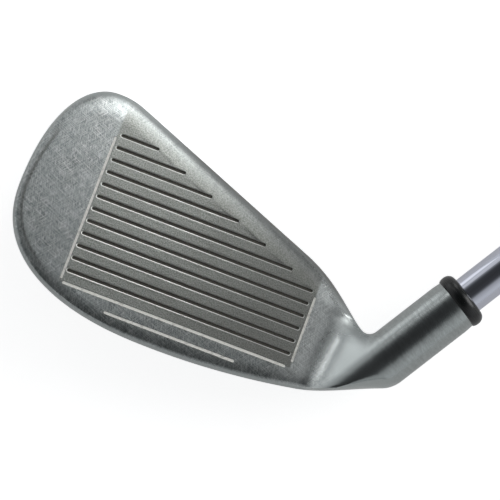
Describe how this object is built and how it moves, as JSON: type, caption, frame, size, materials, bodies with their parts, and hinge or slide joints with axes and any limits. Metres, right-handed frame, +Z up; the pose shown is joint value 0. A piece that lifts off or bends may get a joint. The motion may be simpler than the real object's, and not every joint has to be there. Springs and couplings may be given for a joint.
{
  "type": "iron golf club",
  "caption": "Right-handed long iron: perimeter-weighted steel head with scored face and short hosel, ferrule, stepped chromed shaft and rubber grip.",
  "frame": {"origin": "on the floor, under the middle of the club's box, as the club lies on its back with the face up", "axes": "+X along the shaft from the head to the butt, +Y to the toe's side, +Z up from the floor"},
  "size_m": [1.0246, 0.113, 0.027],
  "materials": {
    "head_steel": "cast stainless steel, satin-polished rim and hosel, blasted face",
    "enamel": "white enamel fill",
    "epoxy": "cured adhesive",
    "ferrule_plastic": "polished black plastic",
    "shaft_chrome": "bright chrome plate",
    "weight_brass": "turned",
    "tape_paper": "adhesive tape",
    "grip_rubber": "moulded, matte"
  },
  "bodies": {
    "root": {"club_head": "head_steel", "scoreline_paint": "enamel", "hosel_epoxy": "epoxy", "ferrule": "ferrule_plastic", "shaft": "shaft_chrome", "tip_weight": "weight_brass", "grip_tape": "tape_paper", "grip": "grip_rubber", "grip_cap": "grip_rubber"}
  },
  "joints": []
}
